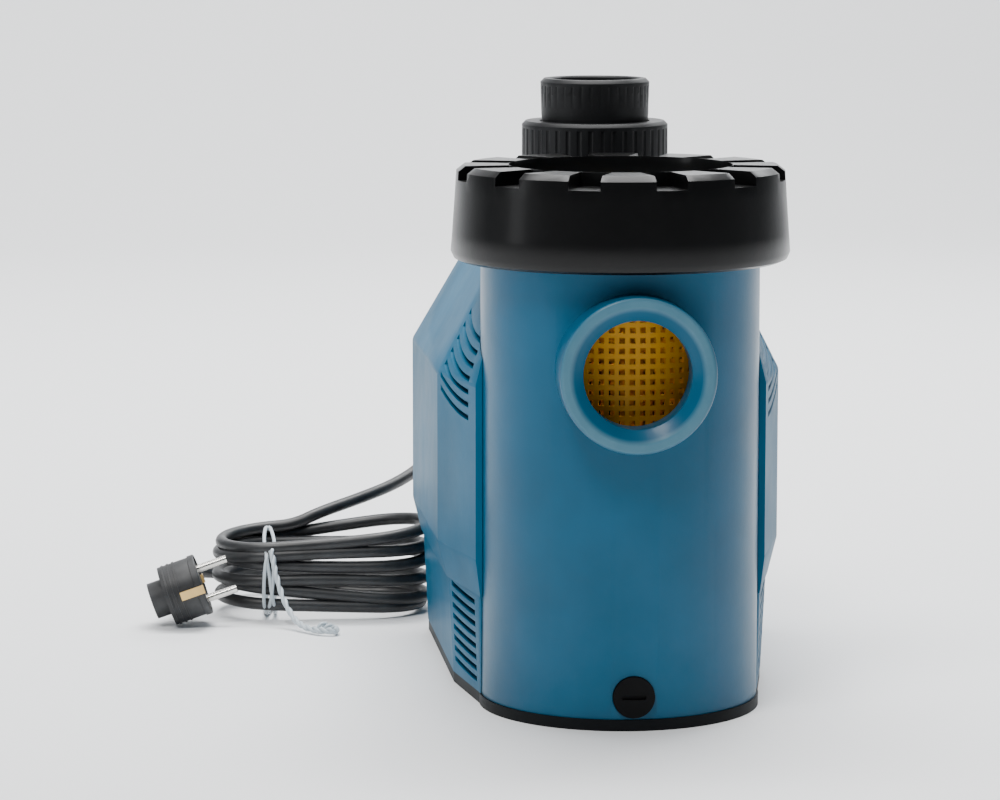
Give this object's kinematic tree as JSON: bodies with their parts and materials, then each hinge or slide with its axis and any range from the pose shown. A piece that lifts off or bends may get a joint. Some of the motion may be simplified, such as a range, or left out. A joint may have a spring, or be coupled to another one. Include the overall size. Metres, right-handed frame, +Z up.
{
  "type": "pool pump",
  "caption": "Self-priming pool pump with a front strainer pot, castellated lock ring, top discharge union, hooded motor and coiled mains lead.",
  "frame": {"origin": "centre of the strainer pot on the underside of the foot, which stands on z = 0", "axes": "+Z up along the pot's axis, +Y along the motor shaft away from the suction port, +X to the right seen from the suction side"},
  "size_m": [0.3589, 0.5613, 0.332],
  "materials": {
    "bearing_steel": "ground steel",
    "black_base": "moulded plastic, matt",
    "black_fittings": "moulded plastic",
    "black_ring": "moulded plastic, satin",
    "black_union": "moulded pvc",
    "brass_contacts": "brass",
    "capacitor_shell": "white plastic can",
    "cast_aluminium": "die cast",
    "ceramic": "ceramic",
    "clear_lid": "clear polycarbonate",
    "copper_wire": "enamelled copper",
    "cord_rubber": "rubber sheath",
    "internal_plastic": "glass-filled plastic",
    "plated_pins": "nickel plated",
    "plug_body": "moulded rubber",
    "rubber": "nitrile rubber",
    "stainless": "stainless steel",
    "steel_laminations": "electrical steel",
    "teal_hood": "moulded plastic, satin gloss",
    "teal_plastic": "moulded fibre-filled plastic, satin gloss",
    "tie_wire": "plastic coated wire",
    "yellow_basket": "moulded plastic"
  },
  "bodies": {
    "root": {"base_plate": "black_base", "cable_gland": "black_fittings", "capacitor_clip": "internal_plastic", "casing_bolts": "stainless", "casing_o_ring": "rubber", "cord_hank": "cord_rubber", "cord_lead": "cord_rubber", "cord_tail": "cord_rubber", "cord_tie": "tie_wire", "diffuser": "internal_plastic", "front_bearing": "bearing_steel", "front_bracket": "cast_aluminium", "gland_locknut": "black_fittings", "gland_nut": "black_fittings", "grille_screws": "stainless", "hood_screws": "stainless", "mains_plug": "plug_body", "motor_can": "cast_aluminium", "motor_cradle": "internal_plastic", "motor_hood": "teal_hood", "motor_tray": "teal_hood", "plug_pins": "plated_pins", "pump_body": "teal_plastic", "rear_bearing": "bearing_steel", "rear_bracket": "cast_aluminium", "rear_grille": "teal_hood", "run_capacitor": "capacitor_shell", "seal_plate": "internal_plastic", "seal_seat": "ceramic", "stator_core": "steel_laminations", "stator_windings": "copper_wire", "strain_relief": "cord_rubber", "terminal_board": "internal_plastic", "terminal_screws": "brass_contacts"},
    "lid": {"strainer_lid": "clear_lid", "lid_o_ring": "rubber"},
    "ring": {"lock_ring": "black_ring"},
    "basket": {"strainer_basket": "yellow_basket"},
    "bail": {"basket_handle": "yellow_basket"},
    "drain": {"drain_plug": "black_fittings", "drain_plug_o_ring": "rubber"},
    "shaft": {"motor_shaft": "stainless", "rotor_core": "steel_laminations", "impeller": "internal_plastic", "impeller_nut": "stainless", "rotating_seal": "rubber", "seal_spring": "stainless", "water_slinger": "rubber", "cooling_fan": "internal_plastic"},
    "tail": {"union_tail": "black_union", "union_o_ring": "rubber"},
    "nut": {"union_nut": "black_union"}
  },
  "joints": [
    {"name": "lid_lift", "type": "slide", "parent": "root", "child": "lid", "axis": [0, 0, 1], "range_m": [0, 0.27]},
    {"name": "ring_turn", "type": "hinge", "parent": "lid", "child": "ring", "pos_m": [0, 0, 0.27], "axis": [0, 0, 1], "range_deg": [0, 270]},
    {"name": "basket_lift", "type": "slide", "parent": "root", "child": "basket", "axis": [0, 0, 1], "range_m": [0, 0.136]},
    {"name": "handle_swing", "type": "hinge", "parent": "basket", "child": "bail", "pos_m": [0, 0, 0.256], "axis": [1, 0, 0], "range_deg": [0, 90]},
    {"name": "drain_out", "type": "slide", "parent": "root", "child": "drain", "axis": [0, -1, 0], "range_m": [0, 0.03]},
    {"name": "shaft_spin", "type": "hinge", "parent": "root", "child": "shaft", "pos_m": [0, 0.2, 0.122], "axis": [0, 1, 0], "continuous": true},
    {"name": "union_lift", "type": "slide", "parent": "root", "child": "tail", "axis": [0, 0, 1], "range_m": [0, 0.05]},
    {"name": "union_nut_turn", "type": "hinge", "parent": "tail", "child": "nut", "pos_m": [0, 0.135, 0.29], "axis": [0, 0, 1], "range_deg": [0, 360]}
  ],
  "couplings": [
    {"joint": "basket_lift", "follows": "lid_lift", "ratio": 0.5},
    {"joint": "handle_swing", "follows": "lid_lift", "rad_per_m": 5.8}
  ]
}
